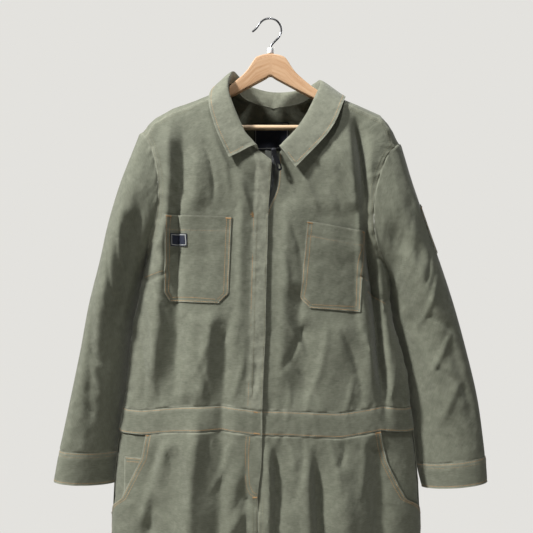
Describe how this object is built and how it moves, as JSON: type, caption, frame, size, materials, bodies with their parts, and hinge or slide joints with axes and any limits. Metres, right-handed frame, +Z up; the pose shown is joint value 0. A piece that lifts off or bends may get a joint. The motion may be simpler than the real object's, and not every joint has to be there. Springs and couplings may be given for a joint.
{
  "type": "boiler suit on a clothes hanger",
  "caption": "Long-sleeved one-piece work suit with turned-down collar, fly zip, set-in waistband and patch pockets, hanging on a wooden hanger.",
  "frame": {"origin": "inside of the top of the hanger hook's crook, where a peg or rail carries it", "axes": "+Z up along the hanging garment, -Y towards its front, +X to the viewer's right, which is the wearer's left"},
  "size_m": [0.7402, 0.1314, 1.7572],
  "materials": {
    "twill": "matte cotton twill, tan topstitching",
    "label": "dark woven label, left bare",
    "zip_tape": "woven tape",
    "zip_metal": "dark plated",
    "beech": "satin lacquer",
    "steel": "satin wire",
    "plastic": "white"
  },
  "bodies": {
    "garment": {"front_right": "twill", "front_left": "twill", "yoke": "twill", "back": "twill", "collar": "twill", "waistband_right": "twill", "waistband_left": "twill", "waistband_back": "twill", "leg_front_right": "twill", "leg_front_left": "twill", "leg_back_right": "twill", "leg_back_left": "twill", "sleeve_right": "twill", "sleeve_left": "twill", "cuff_right": "twill", "cuff_left": "twill", "chest_pocket_right": "twill", "chest_pocket_left": "twill", "pocket_facing_right": "twill", "pocket_facing_left": "twill", "coin_pocket": "twill", "sleeve_pocket": "twill", "chest_label": "label", "neck_label": "label", "zip_tape": "zip_tape", "zip_slider": "zip_metal", "hanger_arms": "beech", "hanger_bar": "beech", "hanger_hook": "steel", "hook_ferrule": "plastic"},
    "pull": {"zip_pull": "zip_metal"}
  },
  "joints": [
    {"name": "zip_pull_swing", "type": "hinge", "parent": "garment", "child": "pull", "pos_m": [0.007, -0.0632, -0.2488], "axis": [-0.9455, 0, -0.3256], "range_deg": [0, 150]}
  ]
}
